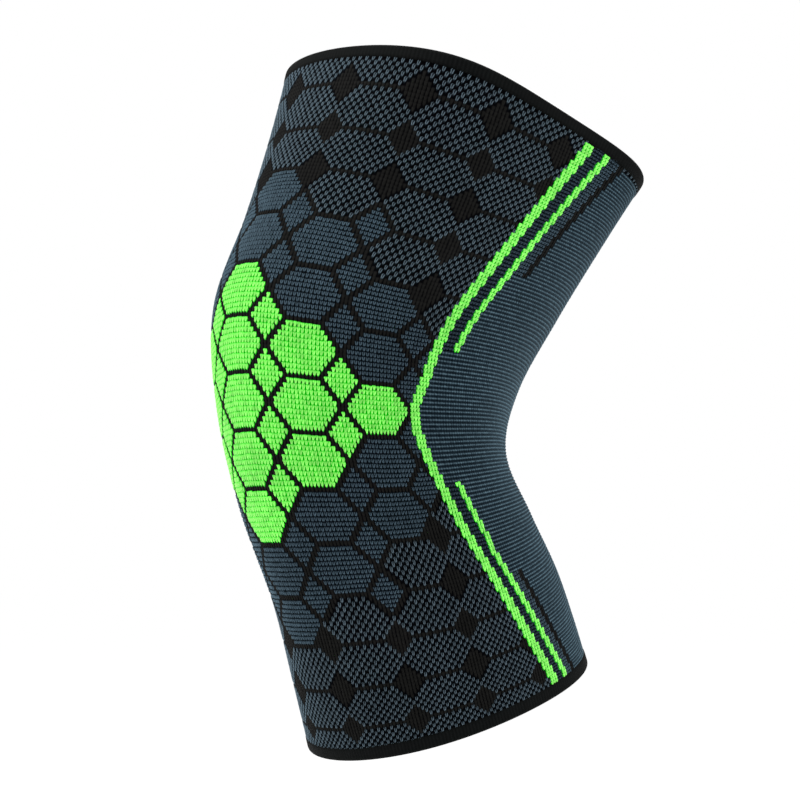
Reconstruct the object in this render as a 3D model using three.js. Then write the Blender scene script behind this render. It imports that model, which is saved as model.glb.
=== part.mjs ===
// Knee compression sleeve, worn shape: a bent, hollow tube of knitted cloth with a welt at each rim.
// Millimetres, +Z up. The kneecap faces -Y and X = 0 is the plane of symmetry.
// The origin is the middle of the knee section, where the leg carries the sleeve.
import * as THREE from 'three';

// Cloth and welts
const clothThickness = 2;
const weltHeight = 5;
const weltProud = 0.5;
const seamGap = 0.3;

// Facets
const facetsAround = 64;
const facetsAlong = 32;
const facetsOfRim = 6;

// Sections across the tube, evenly spaced by knitted courses from the thigh rim to the calf rim.
// front and back are the ends of a section in the plane of symmetry, and halfWidth is its reach to each side.
// taper above 0 narrows a section towards the kneecap. squareness above 0 fills its corners.
const sections = [
  { frontY: -15, frontZ: 149, backY: 117, backZ: 96, halfWidth: 62, taper: -0.03, squareness: 0.19 },
  { frontY: -30, frontZ: 117, backY: 101, backZ: 70, halfWidth: 62, taper: -0.03, squareness: 0.07 },
  { frontY: -44, frontZ: 87, backY: 82, backZ: 41, halfWidth: 63, taper: -0.04, squareness: -0.04 },
  { frontY: -59, frontZ: 51, backY: 64, backZ: 13, halfWidth: 64, taper: -0.08, squareness: -0.09 },
  { frontY: -58, frontZ: 11, backY: 57, backZ: -11, halfWidth: 62, taper: -0.06, squareness: -0.11 },
  { frontY: -49, frontZ: -30, backY: 69, backZ: -32, halfWidth: 59, taper: 0, squareness: -0.08 },
  { frontY: -34, frontZ: -68, backY: 82, backZ: -52, halfWidth: 56, taper: 0.04, squareness: -0.06 },
  { frontY: -23, frontZ: -101, backY: 90, backZ: -71, halfWidth: 55, taper: 0.04, squareness: -0.02 },
  { frontY: -13, frontZ: -128, backY: 95, backZ: -87, halfWidth: 54, taper: 0.02, squareness: 0.04 },
];
const lastStation = sections.length - 1;

// A smooth curve through one column of the table, carried straight on past both ends
function columnAt(column, station) {
  const first = THREE.MathUtils.clamp(Math.floor(station), 0, lastStation - 1);
  const valueAt = (index) => {
    if (index < 0) return 2 * sections[0][column] - sections[1][column];
    if (index > lastStation) return 2 * sections[lastStation][column] - sections[lastStation - 1][column];
    return sections[index][column];
  };
  const start = valueAt(first);
  const end = valueAt(first + 1);
  const startSlope = (end - valueAt(first - 1)) / 2;
  const endSlope = (valueAt(first + 2) - start) / 2;
  const f = station - first;
  const startShare = 2 * f ** 3 - 3 * f ** 2 + 1;
  const startSlopeShare = f ** 3 - 2 * f ** 2 + f;
  const endSlopeShare = f ** 3 - f ** 2;
  return startShare * start + startSlopeShare * startSlope + (1 - startShare) * end + endSlopeShare * endSlope;
}

// A point of the outer face: angle 0 is the front of the section and a right angle is its +X side
function outerPoint(station, angle) {
  const frontShare = (1 + Math.cos(angle)) / 2;
  const squareness = columnAt('squareness', station);
  const outline = 1 - columnAt('taper', station) * Math.cos(angle) + squareness * Math.cos(2 * angle);
  const x = columnAt('halfWidth', station) * Math.sin(angle) * outline / (1 - squareness);
  const y = THREE.MathUtils.lerp(columnAt('backY', station), columnAt('frontY', station), frontShare);
  const z = THREE.MathUtils.lerp(columnAt('backZ', station), columnAt('frontZ', station), frontShare);
  return new THREE.Vector3(x, y, z);
}

// The outer face's local directions: down the tube, and out of the cloth
function clothDirections(station, angle) {
  const step = 0.01;
  const down = outerPoint(station + step, angle).sub(outerPoint(station - step, angle)).divideScalar(2 * step);
  const around = outerPoint(station, angle + step).sub(outerPoint(station, angle - step));
  const out = new THREE.Vector3().crossVectors(down, around).normalize();
  return { lengthPerStation: down.length(), down: down.normalize(), out };
}

// A closed ring of cloth from pointAt(angle, index), its cross-section running down the outer face first
function ringSolid(name, pointsInSection, pointAt, material) {
  const positions = [];
  const faces = [];
  for (let turn = 0; turn < facetsAround; turn += 1) {
    const angle = 2 * Math.PI * turn / facetsAround;
    for (let index = 0; index < pointsInSection; index += 1) {
      positions.push(...pointAt(angle, index).toArray());
    }
  }
  for (let turn = 0; turn < facetsAround; turn += 1) {
    const here = turn * pointsInSection;
    const next = ((turn + 1) % facetsAround) * pointsInSection;
    for (let index = 0; index < pointsInSection; index += 1) {
      const after = (index + 1) % pointsInSection;
      faces.push(here + index, here + after, next + after);
      faces.push(here + index, next + after, next + index);
    }
  }
  const geometry = new THREE.BufferGeometry();
  geometry.setAttribute('position', new THREE.Float32BufferAttribute(positions, 3));
  geometry.setIndex(faces);
  geometry.computeVertexNormals();
  const mesh = new THREE.Mesh(geometry, material);
  mesh.name = name;
  return mesh;
}

// The knitted tube stops short of each rim by the welt and its seam
function knitSleeve(material) {
  const rowsInWall = facetsAlong + 1;
  const setBack = weltHeight + seamGap;
  const pointAt = (angle, index) => {
    const inside = index >= rowsInWall;
    const row = inside ? 2 * rowsInWall - 1 - index : index;
    const top = setBack / clothDirections(0, angle).lengthPerStation;
    const bottom = lastStation - setBack / clothDirections(lastStation, angle).lengthPerStation;
    const station = THREE.MathUtils.lerp(top, bottom, row / facetsAlong);
    const depth = inside ? clothThickness : 0;
    return outerPoint(station, angle).addScaledVector(clothDirections(station, angle).out, -depth);
  };
  return ringSolid('knit_sleeve', 2 * rowsInWall, pointAt, material);
}

// A welt: flat where it meets the tube and half round at the rim
function rimWelt(name, rimStation, towardsTube, material) {
  const halfThickness = clothThickness / 2 + weltProud;
  const corners = [];
  for (let step = 0; step <= facetsOfRim; step += 1) {
    const turn = Math.PI * step / facetsOfRim;
    const alongTube = halfThickness * (1 - Math.sin(turn));
    corners.push({ alongTube, depth: -halfThickness * Math.cos(turn) });
  }
  corners.push({ alongTube: weltHeight, depth: halfThickness });
  corners.push({ alongTube: weltHeight, depth: -halfThickness });
  if (towardsTube > 0) corners.reverse();
  const pointAt = (angle, index) => {
    const { down, out } = clothDirections(rimStation, angle);
    const corner = corners[index];
    const rim = outerPoint(rimStation, angle);
    rim.addScaledVector(down, towardsTube * corner.alongTube);
    return rim.addScaledVector(out, -clothThickness / 2 - corner.depth);
  };
  return ringSolid(name, corners.length, pointAt, material);
}

const knitMaterial = new THREE.MeshStandardMaterial({ name: 'slate_knit', color: 0x2f3b46, roughness: 0.9 });
const topMaterial = new THREE.MeshStandardMaterial({ name: 'black_knit', color: 0x16171a, roughness: 0.92 });
const bottomMaterial = topMaterial.clone();

const part = new THREE.Group();
part.name = 'knee_sleeve';
part.add(knitSleeve(knitMaterial));
part.add(rimWelt('top_cuff', 0, 1, topMaterial));
part.add(rimWelt('bottom_cuff', lastStation, -1, bottomMaterial));

export default part;
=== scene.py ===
# Knee compression sleeve: the knitted tube, stitch by stitch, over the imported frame.
import math

import bpy
import numpy as np
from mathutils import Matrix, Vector


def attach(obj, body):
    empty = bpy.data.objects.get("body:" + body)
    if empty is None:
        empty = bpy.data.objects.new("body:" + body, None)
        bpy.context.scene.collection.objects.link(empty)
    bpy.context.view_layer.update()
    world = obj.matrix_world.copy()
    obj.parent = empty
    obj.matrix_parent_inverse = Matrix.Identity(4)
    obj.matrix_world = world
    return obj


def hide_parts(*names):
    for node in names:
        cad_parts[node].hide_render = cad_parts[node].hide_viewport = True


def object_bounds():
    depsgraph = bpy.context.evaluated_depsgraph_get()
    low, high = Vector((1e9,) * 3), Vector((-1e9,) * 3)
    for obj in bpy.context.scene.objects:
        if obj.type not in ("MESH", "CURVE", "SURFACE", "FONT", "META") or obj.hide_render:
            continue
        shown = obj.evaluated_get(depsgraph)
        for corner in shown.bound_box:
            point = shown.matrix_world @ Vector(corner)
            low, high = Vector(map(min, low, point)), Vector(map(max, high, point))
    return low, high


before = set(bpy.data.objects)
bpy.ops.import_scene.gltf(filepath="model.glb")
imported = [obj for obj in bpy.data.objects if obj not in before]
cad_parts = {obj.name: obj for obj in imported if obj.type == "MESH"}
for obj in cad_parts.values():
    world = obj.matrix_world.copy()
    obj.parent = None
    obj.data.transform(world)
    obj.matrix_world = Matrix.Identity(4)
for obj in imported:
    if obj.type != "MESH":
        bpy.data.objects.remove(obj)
cad_low, cad_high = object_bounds()
RANDOM_SEED = 11
rng = np.random.default_rng(RANDOM_SEED)
MM = 0.001

# Worn shape: the part's own sections, in millimetres, evenly spaced from the thigh rim to the calf rim
# front y, front z, back y, back z, half width, taper, squareness
SECTIONS_MM = np.array([
    (-15, 149, 117, 96, 62, -0.03, 0.19),
    (-30, 117, 101, 70, 62, -0.03, 0.07),
    (-44, 87, 82, 41, 63, -0.04, -0.04),
    (-59, 51, 64, 13, 64, -0.08, -0.09),
    (-58, 11, 57, -11, 62, -0.06, -0.11),
    (-49, -30, 69, -32, 59, 0.00, -0.08),
    (-34, -68, 82, -52, 56, 0.04, -0.06),
    (-23, -101, 90, -71, 55, 0.04, -0.02),
    (-13, -128, 95, -87, 54, 0.02, 0.04),
])
CLOTH = 2.0 * MM
WELT_HEIGHT = 5.0 * MM
WELT_PROUD = 0.28 * MM

# Knit: stitches round the tube (wales) counted from the front, and rows of stitches (courses) from the knee
WALES = 260
HALF_COURSES = 81
KNIT_END = 78
TUCK_COURSES = 1
REPEAT_WALES = 20
REPEAT_COURSES = 11
HEX_HALF_WALES = 8
DIAMOND_HALF = 4
GREEN_REACH = 2
DENSE_REACH = 4
DENSE_CORNER = (1.5, 3.5)
CHECKER_EXTRA_WALES = 2
DIAMOND_EDGE = 2
BACK_CHECKER_COURSES = 2

# Fine, even grid of the outer face
ROWS_PER_COURSE = 2
COLUMNS_PER_WALE = 2
RING_SAMPLES = 1441

# As worn: wales turn and stretch over the kneecap, and turn a little at the thigh rim.
# Courses sag at the sides of the thigh and beside the kneecap, and ride up at the back of the knee.
KNEECAP_TURN_WALES = -2.2
KNEECAP_STRETCH_WALES = 3.7
KNEECAP_COURSES = 52
THIGH_TURN_WALES = -1.6
KNEECAP_DROP_COURSES = 0.35
KNEE_SIDE_DROP_COURSES = 0.6
KNEE_SIDE_WALE = 20
KNEE_SIDE_WALES = 13
KNEE_SIDE_COURSE = -9
KNEE_SIDE_COURSES = 18
THIGH_SAG_COURSES = 3.6
BACK_RISE_COURSES = 10.5
BACK_RISE_SKEW = 0.2
BACK_RISE_FROM_WALE = 31

# Side lines: wales from the front, level over a few courses at the knee's bend, then stepping back one wale
# every few courses, and faster just above the bend. Down the calf each line lies one wale closer to the last.
LINE_APEX_WALE = 51
LINE_APEX_COURSES = (-1, 2)
COURSES_PER_STEP = 3
FAST_STEP_COURSES = 8
THICK_LINE_WALES = 3
THIN_LINE_OFFSET = 6
THIN_LINE_WALES = 2
THIN_LINE_ENDS = (-16, 16)
BLACK_LINE_OFFSET = 12
BLACK_LINE_WALES = 2
BLACK_LINE_ENDS = (-38, 41)
LINES_CLOSER_FROM = 32
LINE_TOP_COURSE = -77
LINE_BOTTOM_COURSE = 76

# Relief, from the part's outer face, and the ground's tone under each yarn
GROUND_LEVEL = -0.42 * MM
GROUND_TONES = {"green": 1.0, "line": 1.0, "dense": 0.5, "ladder": 0.5}
GROUND_FINE_WALES = 96
GROUND_COARSE_STEP = 4

# Loops by yarn: stretch of the width and height, crest over the outer face in millimetres, lean in wales a
# course, and how high the shoulder's and waist's edges, the groove between strands and the head stand, from
# 0 at the ground to 1 at the crest. The head's middle stands higher than its strands by the arch.
# These heights also colour each loop: painted shade where they are low and a painted highlight where they are
# high.
LOOP_COLUMNS = ("wide", "tall", "crest", "lean", "shoulder", "waist", "groove", "head", "arch")
LOOP_ROWS = {
    "green": (1.00, 1.25, 0.12, 0.00, 0.62, -1.00, 0.62, 0.66, -0.10),
    "line": (1.06, 1.30, 0.16, 0.00, 0.68, -0.50, 0.70, 0.72, -0.10),
    "dense": (1.02, 1.10, 0.05, 0.00, 0.16, -0.10, 0.34, 0.02, -0.10),
    "ladder": (1.06, 0.86, -0.12, 0.00, 0.30, 0.10, 0.50, 0.10, -0.10),
    "checker": (1.08, 1.50, 0.08, -0.14, -0.15, -0.30, 0.22, 0.22, 0.40),
    "black": (0.96, 1.46, -0.18, 0.00, 0.10, 0.00, 0.80, 0.30, -0.10),
}
LOOPS = {yarn: dict(zip(LOOP_COLUMNS, row)) for yarn, row in LOOP_ROWS.items()}
# Ladder loops take their colours from lower on the painted shade and highlight ramp, so they are darker all
# over.
LADDER_TONE = 0.80

# Rows of a loop: places down it in courses, half widths in wales, the points of a row as shares of its half
# width, and the heights that all yarns share
FOOT_DOWN, WAIST_DOWN, SHOULDER_DOWN, HEAD_DOWN = 0.56, 0.14, -0.34, -0.56
WAIST_HALF, SHOULDER_HALF, HEAD_HALF = 0.41, 0.53, 0.44
LOOP_SHARES = (-1, -0.54, 0, 0.54, 1)
FOOT_HEIGHT = 0.1
SHOULDER_STRAND = 0.95
HEAD_EDGE_DROP = 0.2

# Dense loops are taller where the courses crowd together, on the front of the thigh just above the kneecap
CROWD_TALLER = 0.40
CROWD_WALES = 18
CROWD_COURSE = -36
CROWD_COURSES = 15

# How uneven the knit is: shares of a loop's size, wales and courses of its place, and shades from 0 to 1
WIDE_SPREAD = 0.04
TALL_SPREAD = 0.05
LEAN_SPREAD = 0.05
PLACE_SPREAD = 0.03
CREST_SPREAD = 0.05
RIB_SPREAD = 0.07
MIDDLE_SHADE = 0.5
LOOP_SHADE_SPREAD = 0.22
CLOTH_SHADE_SPREAD = 0.20

# Loops in the bake map: drawn in a little, so that none overlaps the next, with a border in stitches
BAKE_WIDE = 0.85
BAKE_TALL = 0.80
BAKE_BORDER = 0.5

# Ribs of the back and of the inner face, with heights from 0 in the groove to 1 on the crest
# The same heights colour the ribs: painted shade in the groove and a painted highlight on the crest.
BACK_GROOVE = -0.34 * MM
BACK_CREST = 0.04 * MM
BACK_GROOVE_ON_WALE = 0.18
BACK_CREST_BETWEEN_WALES = 0.75
INNER_LEVEL = -CLOTH + 0.15 * MM
INNER_RIB = 0.25 * MM
INNER_WALE_STEP = 4.0

# Welt: ways along the cloth in welt heights, rises in half thicknesses, and tones, from outside to inside
# The tones are painted shade: darkest where the welt meets the knit, and a little round the rim.
WELT_OUTSIDE = ((1.1, 0.6, 0.3), (1.0, 0.95, 0.8), (0.8, 1.0, 1.0), (0.55, 1.0, 1.0))
WELT_INSIDE = ((0.55, -1.0, 1.0), (1.0, -0.95, 0.8), (1.1, -0.6, 0.3))
WELT_ROUND_STEPS = 8
WELT_ROUND_TONE = 0.9
WELT_INWARD_COURSES = 2.0
WELT_RIB = 0.06 * MM
# Rib grooves and crests are darkened by these shares: painted shade, most in the grooves.
WELT_GROOVE_TONE = 0.45
WELT_CREST_TONE = 0.85

# Yarn: heights where the three colours stand, fibres and larger patches that vary them, and the fine bump
# On loops, ribs and welts the groove colour is painted shade and the crest colour a painted highlight.
GROOVE_AT, BODY_AT, CREST_AT = 0.08, 0.55, 0.98
FIBRE_SCALE = 2600
FIBRE_DETAIL = 3
FIBRE_SHARE = 0.30
FIBRE_BUMP = 0.25
FIBRE_BUMP_HEIGHT = 0.1 * MM
PATCH_SCALE = 38
PATCH_DETAIL = 2
PATCH_RANGE = (0.3, 0.7)
PATCH_TONES = (0.92, 1.08)
STITCH_TONES = (0.80, 1.20)
ROUGHNESS_SPREAD = 0.08
SHEEN_ROUGHNESS = 0.4

# Camera, as the photograph has it
CAMERA_AZIMUTH = 52.2
CAMERA_ELEVATION = -2.4
CAMERA_DISTANCE = 1.5
CAMERA_SIDE_SHIFT = 13.7 * MM
CAMERA_UP_SHIFT = 12.1 * MM
CAMERA_FAR = 200
SENSOR_WIDTH_MM = 36
PHOTO_MM_PER_PIXEL = 0.39
PHOTO_PIXELS = 800

# Studio: lamps by their place towards the camera, to its right and up, the disc's size, all in metres, and
# the power in watts
LAMPS = {
    "key": (0.05, -1.2, 1.5, 0.8, 62),
    "fill": (0.7, 0.6, 1.5, 1.0, 28),
    "rim": (-0.2, 0.8, 1.5, 0.8, 42),
}
FLOOR_HALF = 30.0
FLOOR_DROP = 0.25
FLOOR_ROUGHNESS = 0.9
WHITE = (1, 1, 1, 1)
SKY_STRENGTH = 1.0


def section_columns(station):
    """The table's columns at any station, on a smooth curve through its rows."""
    before_first = 2 * SECTIONS_MM[:1] - SECTIONS_MM[1:2]
    after_last = 2 * SECTIONS_MM[-1:] - SECTIONS_MM[-2:-1]
    rows = np.vstack([before_first, SECTIONS_MM, after_last])
    first = np.clip(np.floor(station).astype(int), 0, len(SECTIONS_MM) - 2)
    part = (station - first)[:, None]
    before, start, end, after = (rows[first + k] for k in range(4))
    start_share = 2 * part**3 - 3 * part**2 + 1
    curve = start_share * start + (1 - start_share) * end
    curve += (part**3 - 2 * part**2 + part) * (end - before) / 2
    curve += (part**3 - part**2) * (after - start) / 2
    return curve.T


def section_rings(station, angle):
    """Outer face points, one row for each station and one column for each angle from the front."""
    front_y, front_z, back_y, back_z, half_width, taper, square = section_columns(station)[:, :, None]
    cosine = np.cos(angle)[None]
    outline = (1 - taper * cosine + square * np.cos(2 * angle)[None]) / (1 - square)
    x = half_width * np.sin(angle)[None] * outline
    front_share = (1 + cosine) / 2
    y = back_y + (front_y - back_y) * front_share
    z = back_z + (front_z - back_z) * front_share
    return np.stack([x, y, z], axis=-1) * MM


class Tube:
    """The outer face as a fine, even grid, and the places where the worn cloth carries its stitches."""

    def __init__(self):
        last_row = HALF_COURSES * ROWS_PER_COURSE
        courses = np.arange(-last_row, last_row + 1) / ROWS_PER_COURSE
        station = (courses + HALF_COURSES) * (len(SECTIONS_MM) - 1) / (2 * HALF_COURSES)
        rings = section_rings(station, np.linspace(-math.pi, math.pi, RING_SAMPLES))
        steps = np.linalg.norm(np.diff(rings, axis=1), axis=2)
        run = np.concatenate([np.zeros((len(steps), 1)), np.cumsum(steps, axis=1)], axis=1)
        share = np.linspace(0, 1, WALES * COLUMNS_PER_WALE + 1)
        self.points = np.empty((len(courses), len(share), 3))
        for row in range(len(courses)):
            for axis in range(3):
                self.points[row, :, axis] = np.interp(share * run[row, -1], run[row], rings[row, :, axis])
        down = np.gradient(self.points, axis=0)
        wrapped = np.concatenate([self.points[:, -2:-1], self.points, self.points[:, 1:2]], axis=1)
        around = wrapped[:, 2:] - wrapped[:, :-2]
        out = np.cross(down, around)
        self.out = out / np.linalg.norm(out, axis=2, keepdims=True)

    def blend(self, grid, wale, course):
        """The grid's values at places of the even grid, between its four nearest points."""
        row = np.clip((course + HALF_COURSES) * ROWS_PER_COURSE, 0, len(grid) - 1)
        column = ((wale + WALES / 2) % WALES) * COLUMNS_PER_WALE
        top = np.minimum(np.floor(row).astype(int), len(grid) - 2)
        left = np.floor(column).astype(int)
        down = (row - top)[..., None]
        across = (column - left)[..., None]
        upper = grid[top, left] * (1 - across) + grid[top, left + 1] * across
        lower = grid[top + 1, left] * (1 - across) + grid[top + 1, left + 1] * across
        return upper * (1 - down) + lower * down

    def worn_place(self, wale, course):
        """Wale and course of the even grid where the leg's shape has pulled a stitch."""
        wale = (wale + WALES / 2) % WALES - WALES / 2
        down = course / HALF_COURSES
        above_knee = np.maximum(-down, 0)
        turn = KNEECAP_TURN_WALES + KNEECAP_STRETCH_WALES * np.sin(4 * math.pi * wale / WALES)
        turn = turn * np.exp(-(course / KNEECAP_COURSES) ** 2) + THIGH_TURN_WALES * above_knee**4
        at_side = (1 - np.cos(4 * math.pi * wale / WALES)) / 2
        to_back = (np.abs(wale) - BACK_RISE_FROM_WALE) / (WALES / 2 - BACK_RISE_FROM_WALE)
        back_share = (1 - np.cos(math.pi * np.clip(to_back, 0, 1))) / 2
        rise = BACK_RISE_COURSES * (1 + BACK_RISE_SKEW * down) * back_share
        from_knee_side = ((np.abs(wale) - KNEE_SIDE_WALE) / KNEE_SIDE_WALES) ** 2
        from_knee_side += ((course - KNEE_SIDE_COURSE) / KNEE_SIDE_COURSES) ** 2
        drop = KNEECAP_DROP_COURSES + THIGH_SAG_COURSES * above_knee * at_side
        drop = drop + KNEE_SIDE_DROP_COURSES * np.exp(-from_knee_side)
        return wale + turn, course + (drop - rise) * (1 - down**4)

    def at(self, wale, course, lift):
        """Points over the outer face, lifted out of it by so many metres."""
        wale, course, lift = np.broadcast_arrays(wale, course, lift)
        place = self.worn_place(wale, course)
        return self.blend(self.points, *place) + self.blend(self.out, *place) * lift[..., None]


tube = Tube()


def line_wale(course):
    """Middle wale of the thick green line, counted from the front."""
    above = np.maximum(LINE_APEX_COURSES[0] - course, 0)
    below = np.maximum(course - LINE_APEX_COURSES[1], 0)
    fast = np.minimum(above, FAST_STEP_COURSES) // 2
    return LINE_APEX_WALE + (above + fast + below) // COURSES_PER_STEP


def hexagon_reach(wale, course, extra=0):
    """Steps from the knee's middle hexagon to the hexagon that a stitch is in, or -1 outside hexagons."""
    column = np.floor((wale + REPEAT_WALES / 2) / REPEAT_WALES)
    row = np.floor((course + REPEAT_COURSES / 2) / REPEAT_COURSES)
    across = np.abs(wale - column * REPEAT_WALES)
    down = course - row * REPEAT_COURSES
    rows_from_middle = np.where(down >= 0, down, -1 - down)
    inside = (down < REPEAT_COURSES // 2) & (across <= HEX_HALF_WALES + extra - rows_from_middle)
    return np.where(inside, np.abs(column) + np.abs(row), -1)


def diamond_reach(wale, course, extra=0):
    """The same for the diamonds between four hexagons. Four outer ones count as one step nearer."""
    column = np.floor(wale / REPEAT_WALES)
    row = np.floor(course / REPEAT_COURSES)
    across = np.abs(wale - column * REPEAT_WALES - REPEAT_WALES // 2)
    along = np.abs(course - row * REPEAT_COURSES - REPEAT_COURSES // 2)
    inside = across + along <= DIAMOND_HALF + extra
    steps = (np.abs(column + 0.5), np.abs(row + 0.5))
    corner = (steps[0] == DENSE_CORNER[0]) & (steps[1] == DENSE_CORNER[1])
    return np.where(inside, steps[0] + steps[1] - corner, -1)


def stitch_plan():
    """A yarn for every stitch, a row for each course and a column for each wale. Sunk ones have no loop."""
    courses = np.arange(-KNIT_END, KNIT_END)
    wales = np.arange(-WALES // 2, WALES // 2)
    course, wale = np.meshgrid(courses, wales, indexing="ij")
    offset = np.abs(wale) - line_wale(course)
    raised = (wale + course) % 2 == 0
    yarn = np.full(wale.shape, "black", dtype=object)

    edge = diamond_reach(wale, course, DIAMOND_EDGE)
    checkered = hexagon_reach(wale, course, CHECKER_EXTRA_WALES) > DENSE_REACH
    checkered &= (edge < 0) | (edge > DENSE_REACH)
    for reach in (hexagon_reach(wale, course), diamond_reach(wale, course)):
        yarn[(reach >= 0) & (reach <= DENSE_REACH)] = "dense"
        yarn[(reach >= 0) & (reach <= GREEN_REACH)] = "green"

    behind = offset > THICK_LINE_WALES // 2
    has_thin_line = (course <= THIN_LINE_ENDS[0]) | (course >= THIN_LINE_ENDS[1])
    has_black_line = (course <= BLACK_LINE_ENDS[0]) | (course >= BLACK_LINE_ENDS[1])
    closer = (course >= LINES_CLOSER_FROM).astype(int)
    from_thin_line = offset - THIN_LINE_OFFSET + closer
    from_black_line = offset - BLACK_LINE_OFFSET + 2 * closer
    green_line = np.abs(offset) <= THICK_LINE_WALES // 2
    green_line |= has_thin_line & (from_thin_line >= 0) & (from_thin_line < THIN_LINE_WALES)
    beyond_lines = (course < LINE_TOP_COURSE) | (course > LINE_BOTTOM_COURSE)
    yarn[behind] = "back"
    yarn[behind & has_black_line & (from_black_line < BLACK_LINE_WALES)] = "black"
    yarn[behind & has_black_line & (from_black_line < 0)] = "dense"
    yarn[behind & has_thin_line & (from_thin_line < 0)] = "ladder"
    yarn[green_line] = "line"
    yarn[green_line & beyond_lines] = "black"

    near_top = (yarn == "back") & (course < -KNIT_END + BACK_CHECKER_COURSES)
    checkered = (checkered & (offset < -(THICK_LINE_WALES // 2))) | near_top
    yarn[checkered] = "sunk"
    yarn[checkered & raised] = "checker"
    return courses, wales, yarn


plan_courses, plan_wales, plan_yarn = stitch_plan()


# Materials
def srgb(red, green, blue):
    """Linear colour from the usual 0 to 255 values."""
    parts = np.array([red, green, blue]) / 255
    return tuple(np.where(parts <= 0.04045, parts / 12.92, ((parts + 0.055) / 1.055) ** 2.4))


def new_material(name):
    """A material with no nodes yet."""
    material = bpy.data.materials.new(name)
    material.use_nodes = True
    material.node_tree.nodes.clear()
    return material


def add_node(material, kind, inputs=None, **settings):
    """A node with its settings, and its inputs joined to other nodes' outputs or set to values."""
    node = material.node_tree.nodes.new(kind)
    for name, value in settings.items():
        setattr(node, name, value)
    for name, value in (inputs or {}).items():
        if isinstance(value, bpy.types.NodeSocket):
            material.node_tree.links.new(value, node.inputs[name])
        else:
            node.inputs[name].default_value = value
    return node


def add_surface(material, inputs):
    """The shader that ends a material."""
    shader = add_node(material, "ShaderNodeBsdfPrincipled", inputs)
    add_node(material, "ShaderNodeOutputMaterial", {"Surface": shader.outputs["BSDF"]})


def add_noise(material, scale, detail):
    """Noise from 0 to 1 that is fixed to the cloth."""
    place = add_node(material, "ShaderNodeTexCoord").outputs["Object"]
    inputs = {"Vector": place, "Scale": scale, "Detail": detail}
    return add_node(material, "ShaderNodeTexNoise", inputs).outputs["Fac"]


def add_map(material, value, to_range, from_range=(0, 1)):
    """The value, moved from one range to another."""
    inputs = {"Value": value}
    for side, (low, high) in (("From", from_range), ("To", to_range)):
        inputs[side + " Min"] = low
        inputs[side + " Max"] = high
    return add_node(material, "ShaderNodeMapRange", inputs).outputs["Result"]


def add_math(material, operation, *values):
    """The values, put through one operation."""
    return add_node(material, "ShaderNodeMath", dict(enumerate(values)), operation=operation).outputs[0]


def yarn_material(name, groove, body, crest, roughness, sheen, specular, fuzz=(1, 1, 1)):
    """Yarn: painted shade in the grooves, a painted highlight on the crests, uneven from stitch to stitch,
    with a fibre twist.
    """
    material = new_material(name)
    height = add_node(material, "ShaderNodeAttribute", attribute_name="height").outputs["Fac"]
    shade = add_node(material, "ShaderNodeAttribute", attribute_name="shade").outputs["Fac"]
    fibre = add_noise(material, FIBRE_SCALE, FIBRE_DETAIL)
    patches = add_noise(material, PATCH_SCALE, PATCH_DETAIL)

    uneven = add_math(material, "MULTIPLY_ADD", fibre, FIBRE_SHARE, height)
    centred = add_math(material, "SUBTRACT", uneven, FIBRE_SHARE / 2)
    ramp = add_node(material, "ShaderNodeValToRGB", {"Fac": centred})
    stops = ramp.color_ramp.elements
    stops[0].position = GROOVE_AT
    stops[0].color = (*groove, 1)
    stops[1].position = CREST_AT
    stops[1].color = (*crest, 1)
    stops.new(BODY_AT).color = (*body, 1)

    stitch_tone = add_map(material, shade, STITCH_TONES)
    patch_tone = add_map(material, patches, PATCH_TONES, PATCH_RANGE)
    tone = add_math(material, "MULTIPLY", stitch_tone, patch_tone)
    tint_inputs = {"Factor": 1, "A": ramp.outputs["Color"], "B": tone}
    tint = add_node(material, "ShaderNodeMix", tint_inputs, data_type="RGBA", blend_type="MULTIPLY")
    bump_inputs = {"Strength": FIBRE_BUMP, "Distance": FIBRE_BUMP_HEIGHT, "Height": fibre}
    bump = add_node(material, "ShaderNodeBump", bump_inputs)
    add_surface(material, {
        "Base Color": tint.outputs["Result"],
        "Roughness": add_map(material, fibre, (roughness - ROUGHNESS_SPREAD, roughness + ROUGHNESS_SPREAD)),
        "Specular IOR Level": specular,
        "Sheen Weight": sheen,
        "Sheen Roughness": SHEEN_ROUGHNESS,
        "Sheen Tint": (*fuzz, 1),
        "Normal": bump.outputs["Normal"],
    })
    return material


SLATE_FUZZ = srgb(120, 150, 165)
# Groove colours are painted shade and crest colours painted highlights, with the body colour between.
green_yarn = yarn_material(
    "green_yarn", groove=srgb(0, 140, 0), body=srgb(2, 157, 1), crest=srgb(118, 184, 87),
    roughness=0.65, sheen=0.04, specular=0.05)
slate_yarn = yarn_material(
    "slate_yarn", groove=srgb(1, 4, 8), body=srgb(10, 18, 24), crest=srgb(54, 68, 77),
    roughness=0.80, sheen=0.13, specular=0.02, fuzz=SLATE_FUZZ)
checker_yarn = yarn_material(
    "checker_slate_yarn", groove=srgb(2, 5, 8), body=srgb(13, 19, 23), crest=srgb(70, 82, 90),
    roughness=0.80, sheen=0.13, specular=0.02, fuzz=SLATE_FUZZ)
back_yarn = yarn_material(
    "back_slate_yarn", groove=srgb(1, 5, 9), body=srgb(16, 26, 33), crest=srgb(58, 75, 83),
    roughness=0.82, sheen=0.15, specular=0.02, fuzz=SLATE_FUZZ)
black_yarn = yarn_material(
    "black_yarn", groove=srgb(2, 2, 2), body=srgb(7, 7, 7), crest=srgb(13, 13, 12),
    roughness=0.85, sheen=0.005, specular=0.02)
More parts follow.
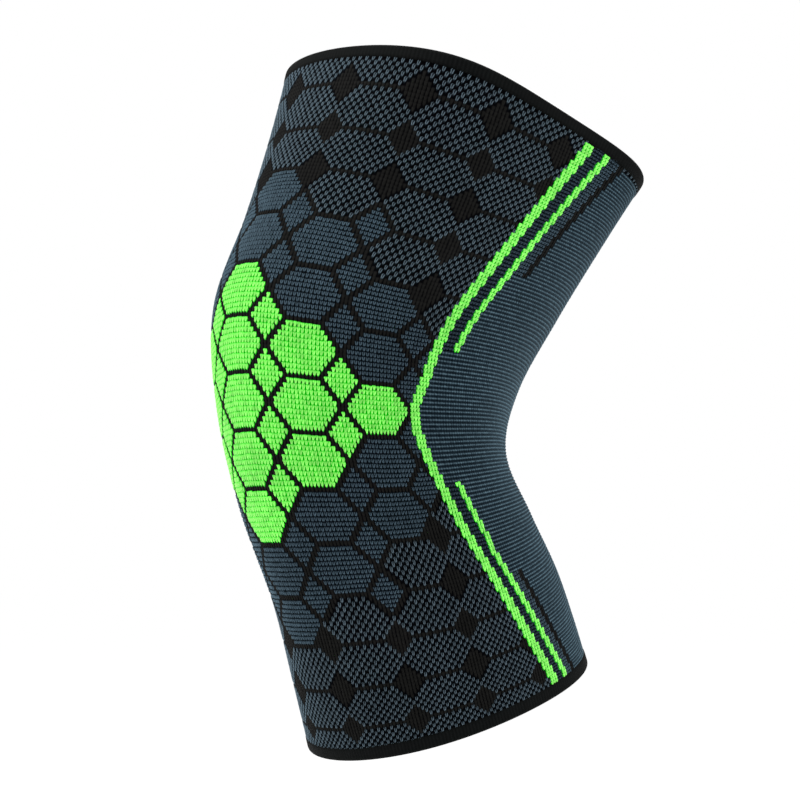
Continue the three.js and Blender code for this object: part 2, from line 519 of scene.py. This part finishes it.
# The ground's three colours are the black, slate and green that it carries; its slate is darker than the
# slate yarn's body, painted shade in the gaps between loops.
ground_yarn = yarn_material(
    "ground_yarn", groove=srgb(1, 1, 2), body=srgb(3, 7, 10), crest=srgb(0, 160, 2),
    roughness=0.85, sheen=0.0, specular=0.01)
inner_yarn = yarn_material(
    "inner_yarn", groove=srgb(7, 9, 11), body=srgb(24, 30, 35), crest=srgb(38, 46, 52),
    roughness=0.88, sheen=0.03, specular=0.04)
welt_yarn = yarn_material(
    "welt_yarn", groove=srgb(1, 1, 1), body=srgb(5, 6, 6), crest=srgb(10, 11, 11),
    roughness=0.85, sheen=0.005, specular=0.02)


# Pieces
def new_piece(name, points, faces, material, height, shade, bake_map):
    """A mesh piece with its yarn attributes, riding on the one body."""
    mesh = bpy.data.meshes.new(name)
    mesh.from_pydata(points.reshape(-1, 3).tolist(), [], faces)
    mesh.update()
    for label, values in (("height", height), ("shade", shade)):
        store = mesh.attributes.new(label, "FLOAT", "POINT")
        store.data.foreach_set("value", np.ascontiguousarray(values, dtype=np.float32).ravel())
    corners = np.empty(len(mesh.loops), dtype=np.int32)
    mesh.loops.foreach_get("vertex_index", corners)
    layer = mesh.uv_layers.new(name="OFBake")
    layer.data.foreach_set("uv", bake_map.reshape(-1, 2)[corners].astype(np.float32).ravel())
    mesh.polygons.foreach_set("use_smooth", np.ones(len(mesh.polygons), dtype=bool))
    mesh.materials.append(material)
    piece = bpy.data.objects.new(name, mesh)
    bpy.context.scene.collection.objects.link(piece)
    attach(piece, "root")
    return piece


def uneven_shade(shape, spread=CLOTH_SHADE_SPREAD):
    """Random shades from 0 to 1."""
    return np.clip(rng.normal(MIDDLE_SHADE, spread, shape), 0, 1)


def loop_pattern(size):
    """One loop, across in wales and down in courses: a pointed foot, two strands and a head."""
    shoulder, waist, groove, head = (size[key] for key in ("shoulder", "waist", "groove", "head"))
    head_edge = head - HEAD_EDGE_DROP
    rows = (
        (WAIST_DOWN, WAIST_HALF, (waist, 1.0, (1 + groove) / 2, 1.0, waist)),
        (SHOULDER_DOWN, SHOULDER_HALF, (shoulder, SHOULDER_STRAND, groove, SHOULDER_STRAND, shoulder)),
        (HEAD_DOWN, HEAD_HALF, (head_edge, head, head + size["arch"], head, head_edge)),
    )
    # The heights lift the loop and colour it: painted shade at the foot, at the edges and between the
    # strands, a painted highlight on the strands and the head.
    across, down, height = [0.0], [FOOT_DOWN], [FOOT_HEIGHT]
    per_row = len(LOOP_SHARES)
    for row_down, half_width, row_height in rows:
        across += [half_width * share for share in LOOP_SHARES]
        down += [row_down] * per_row
        height += row_height
    faces = [(0, 2 + k, 1 + k) for k in range(per_row - 1)]
    for row in range(len(rows) - 1):
        for k in range(per_row - 1):
            low = 1 + per_row * row + k
            faces.append((low, low + 1, low + per_row + 1, low + per_row))
    return np.array(across), np.array(down), np.array(height), faces


def crowding(wale, course):
    """How far the courses crowd together, 1 being the most."""
    return np.exp(-(wale / CROWD_WALES) ** 2 - ((course - CROWD_COURSE) / CROWD_COURSES) ** 2)


def stitches(name, kinds, material):
    """The loops of the given kinds, joined in one mesh."""
    points, faces, heights, shades, bakes = [], [], [], [], []
    for kind in kinds:
        size = LOOPS[kind]
        across, down, height, loop_faces = loop_pattern(size)
        rows, columns = np.nonzero(plan_yarn == kind)
        wale = plan_wales[columns][:, None]
        course = plan_courses[rows][:, None]
        middle = course + 0.5
        count, per_loop = len(wale), len(across)
        wide = size["wide"] * rng.normal(1, WIDE_SPREAD, (count, 1))
        tall = size["tall"] * rng.normal(1, TALL_SPREAD, (count, 1))
        if kind == "dense":
            tall *= 1 + CROWD_TALLER * crowding(wale, course)
        lean = rng.normal(size["lean"], LEAN_SPREAD, (count, 1))
        at_wale = wale + across * wide + lean * down + rng.normal(0, PLACE_SPREAD, (count, 1))
        at_course = middle + down * tall + rng.normal(0, PLACE_SPREAD, (count, 1))
        crest = (size["crest"] * MM - GROUND_LEVEL) * rng.normal(1, CREST_SPREAD, (count, 1))
        first = sum(len(p) for p in points)
        points.append(tube.at(at_wale, at_course, GROUND_LEVEL + height * crest).reshape(-1, 3))
        for k in range(count):
            start = first + k * per_loop
            faces += [tuple(start + corner for corner in face) for face in loop_faces]
        # The heights pick each loop's colours, from painted shade to painted highlight.
        tone = LADDER_TONE if kind == "ladder" else 1
        heights.append(np.tile(height, count) * tone)
        shades.append(np.repeat(uneven_shade(count, LOOP_SHADE_SPREAD), per_loop))
        bake = np.stack([wale + BAKE_WIDE * across, middle + BAKE_TALL * down], axis=-1)
        bakes.append(bake.reshape(-1, 2))
    bake_map = np.vstack(bakes)
    low = bake_map.min(axis=0) - BAKE_BORDER
    high = bake_map.max(axis=0) + BAKE_BORDER
    bake_map = (bake_map - low) / (high - low)
    return new_piece(name, np.vstack(points), faces, material,
                     np.concatenate(heights), np.concatenate(shades), bake_map)


def grid_faces(rows, columns):
    """Quads of a grid that closes round the tube, outward when rows run down and columns run to +X."""
    faces = []
    for row in range(rows - 1):
        for column in range(columns):
            right = (column + 1) % columns
            faces.append((row * columns + column, (row + 1) * columns + column,
                          (row + 1) * columns + right, row * columns + right))
    return faces


def grid_bake(rows, columns):
    """Places of a grid's points in the bake map."""
    return np.stack(np.meshgrid(np.linspace(0, 1, columns), np.linspace(1, 0, rows)), axis=-1)


def make_ground():
    """The cloth under the loops: black, or a tone of the loops that it carries, its slate darker as painted
    shade. It tucks into the welts.
    """
    tones = np.vectorize(lambda yarn: GROUND_TONES.get(yarn, 0.0))(plan_yarn)
    tones = np.pad(tones, ((TUCK_COURSES, TUCK_COURSES), (0, 0)))
    reach = KNIT_END + TUCK_COURSES
    above = np.vstack([tones[:1], tones])
    below = np.vstack([tones, tones[-1:]])
    fine = np.arange(-GROUND_FINE_WALES, GROUND_FINE_WALES)
    coarse = np.arange(GROUND_FINE_WALES, WALES - GROUND_FINE_WALES, GROUND_COARSE_STEP)
    wales = np.concatenate([fine, coarse])
    courses = np.arange(-reach, reach + 1)
    height = np.minimum(above, below)[:, (wales + WALES // 2) % WALES]
    wale, course = np.meshgrid(wales.astype(float), courses.astype(float))
    points = tube.at(wale, course, np.full(wale.shape, GROUND_LEVEL))
    rows, columns = wale.shape
    ground = new_piece("ground_knit", points, grid_faces(rows, columns), ground_yarn, height,
                       uneven_shade(height.shape), grid_bake(rows, columns))
    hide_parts("knit_sleeve")
    return ground


def make_lining():
    """The inner face, with a rib for each course, painted shade between the ribs and a painted highlight on
    them. It tucks into the welts.
    """
    reach = KNIT_END + TUCK_COURSES
    half_courses = np.arange(2 * reach, -2 * reach - 1, -1)
    wale, course = np.meshgrid(np.arange(0, WALES, INNER_WALE_STEP), half_courses / 2)
    rib = np.where(np.isclose(course % 1, 0), 0.0, 1.0)
    points = tube.at(wale, course, INNER_LEVEL - INNER_RIB * rib)
    rows, columns = wale.shape
    return new_piece("inner_knit", points, grid_faces(rows, columns), inner_yarn, rib,
                     uneven_shade(rib.shape), grid_bake(rows, columns))


def make_back():
    """The ribbed back: a rounded rib for each course, pinched between the wales, with painted shade in the
    grooves and a painted highlight on the crests.
    """
    wales = np.arange(-WALES, WALES) / 2 - 0.5
    courses = np.arange(-2 * KNIT_END, 2 * KNIT_END + 1) / 2
    wale, course = np.meshgrid(wales, courses)
    rows, columns = wale.shape
    between_wales = np.isclose((wale + 0.5) % 1, 0)
    groove_height = np.where(between_wales, 0.0, BACK_GROOVE_ON_WALE)
    crest_height = np.where(between_wales, BACK_CREST_BETWEEN_WALES, 1.0)
    height = np.where(np.isclose(course % 1, 0), groove_height, crest_height)
    height = height + rng.normal(0, RIB_SPREAD, height.shape)
    points = tube.at(wale, course, BACK_GROOVE + (BACK_CREST - BACK_GROOVE) * height)
    faces = np.array(grid_faces(rows, columns)).reshape(rows - 1, columns, 4)
    ribbed = np.repeat(np.repeat(plan_yarn == "back", 2, axis=0), 2, axis=1)
    used, faces = np.unique(faces[ribbed], return_inverse=True)
    shade = uneven_shade(height.shape)
    return new_piece("back_rib_knit", points.reshape(-1, 3)[used], faces.reshape(-1, 4).tolist(), back_yarn,
                     height.ravel()[used], shade.ravel()[used],
                     grid_bake(rows, columns).reshape(-1, 2)[used])


def welt_profile():
    """Way along the cloth from the rim, rise from its middle, and tone, half round at the rim."""
    half = CLOTH / 2 + WELT_PROUD
    profile = [(along * WELT_HEIGHT, rise * half, tone) for along, rise, tone in WELT_OUTSIDE]
    for step in range(WELT_ROUND_STEPS + 1):
        turn = math.pi * step / WELT_ROUND_STEPS
        profile.append((half * (1 - math.sin(turn)), half * math.cos(turn), WELT_ROUND_TONE))
    profile += [(along * WELT_HEIGHT, rise * half, tone) for along, rise, tone in WELT_INSIDE]
    return profile


def make_welt(name, node, rim_course, towards_knee):
    """A black welt at a rim, with fine ribs, flush with the loops, with painted shade in the rib grooves and
    where it meets the knit.
    """
    profile = welt_profile()
    wale = np.arange(-WALES, WALES) / 2
    at_rim = np.full(len(wale), float(rim_course))
    rim = tube.at(wale, at_rim, 0.0)
    inward = tube.at(wale, at_rim + WELT_INWARD_COURSES * towards_knee, 0.0) - rim
    inward /= np.linalg.norm(inward, axis=1, keepdims=True)
    out = tube.blend(tube.out, wale, at_rim)
    rib = np.where(np.isclose(wale % 1, 0), 1.0, 0.0)
    # Painted shade: the rib grooves darker than the rib crests.
    rib_tone = WELT_GROOVE_TONE + (WELT_CREST_TONE - WELT_GROOVE_TONE) * rib
    rings, heights = [], []
    for along, rise, tone in profile:
        lift = rise - CLOTH / 2 - WELT_RIB * (1 - rib) * np.sign(rise) * tone
        rings.append(rim + inward * along + out * lift[:, None])
        heights.append(tone * rib_tone)
    points, height = np.stack(rings), np.stack(heights)
    faces = grid_faces(len(profile), len(wale))
    if towards_knee > 0:
        faces = [face[::-1] for face in faces]
    welt = new_piece(name, points, faces, welt_yarn, height, uneven_shade(height.shape),
                     grid_bake(len(profile), len(wale)))
    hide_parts(node)
    return welt


ground = make_ground()
lining = make_lining()
knit = [
    lining,
    make_back(),
    stitches("green_stitches", ["green", "line"], green_yarn),
    stitches("slate_stitches", ["dense", "ladder"], slate_yarn),
    stitches("checker_stitches", ["checker"], checker_yarn),
    stitches("black_stitches", ["black"], black_yarn),
    make_welt("top_welt", "top_cuff", -HALF_COURSES, 1),
    make_welt("bottom_welt", "bottom_cuff", HALF_COURSES, -1),
]


# Floor, light and camera
def view_directions(azimuth, elevation):
    """The camera's right, its up, and the way back to it from the object."""
    turn, tilt = math.radians(azimuth), math.radians(elevation)
    right = Vector((math.cos(turn), math.sin(turn), 0))
    level = math.cos(tilt)
    back_to_camera = Vector((math.sin(turn) * level, -math.cos(turn) * level, math.sin(tilt)))
    return right, back_to_camera.cross(right), back_to_camera


def make_camera(right, up, back_to_camera):
    """The photograph's camera, with its scale at the object."""
    data = bpy.data.cameras.new("photo_camera")
    data.sensor_width = SENSOR_WIDTH_MM
    data.lens = SENSOR_WIDTH_MM * (CAMERA_DISTANCE / (PHOTO_MM_PER_PIXEL * MM)) / PHOTO_PIXELS
    data.clip_end = CAMERA_FAR
    camera = bpy.data.objects.new("photo_camera", data)
    target = right * CAMERA_SIDE_SHIFT + up * CAMERA_UP_SHIFT
    camera.location = target + back_to_camera * CAMERA_DISTANCE
    camera.rotation_euler = back_to_camera.to_track_quat("Z", "Y").to_euler()
    bpy.context.scene.collection.objects.link(camera)
    bpy.context.scene.camera = camera


def make_floor():
    """A wide white floor, some way under the object."""
    material = new_material("pale_floor")
    add_surface(material, {"Base Color": WHITE, "Roughness": FLOOR_ROUGHNESS, "Specular IOR Level": 0.0})
    level = cad_low.z - FLOOR_DROP
    corners = [(x * FLOOR_HALF, y * FLOOR_HALF, level) for x, y in ((-1, -1), (1, -1), (1, 1), (-1, 1))]
    mesh = bpy.data.meshes.new("floor")
    mesh.from_pydata(corners, [], [(0, 1, 2, 3)])
    mesh.materials.append(material)
    floor = bpy.data.objects.new("floor", mesh)
    bpy.context.scene.collection.objects.link(floor)


def make_light(name, place, size, power):
    """A round lamp that faces the object."""
    data = bpy.data.lights.new(name, "AREA")
    data.shape = "DISK"
    data.size = size
    data.energy = power
    lamp = bpy.data.objects.new(name, data)
    lamp.location = place
    lamp.rotation_euler = place.to_track_quat("Z", "Y").to_euler()
    bpy.context.scene.collection.objects.link(lamp)


def make_sky():
    """Even white light from all round."""
    world = bpy.data.worlds.new("studio")
    world.use_nodes = True
    sky = world.node_tree.nodes["Background"]
    sky.inputs["Color"].default_value = WHITE
    sky.inputs["Strength"].default_value = SKY_STRENGTH
    bpy.context.scene.world = world


right, up, back_to_camera = view_directions(CAMERA_AZIMUTH, CAMERA_ELEVATION)
make_camera(right, up, back_to_camera)
make_floor()
for lamp_name, (near, aside, high, lamp_size, watts) in LAMPS.items():
    lamp_place = back_to_camera * near + right * aside + Vector((0, 0, high))
    make_light(lamp_name, lamp_place, lamp_size, watts)
make_sky()
bpy.context.scene.view_settings.view_transform = "Standard"
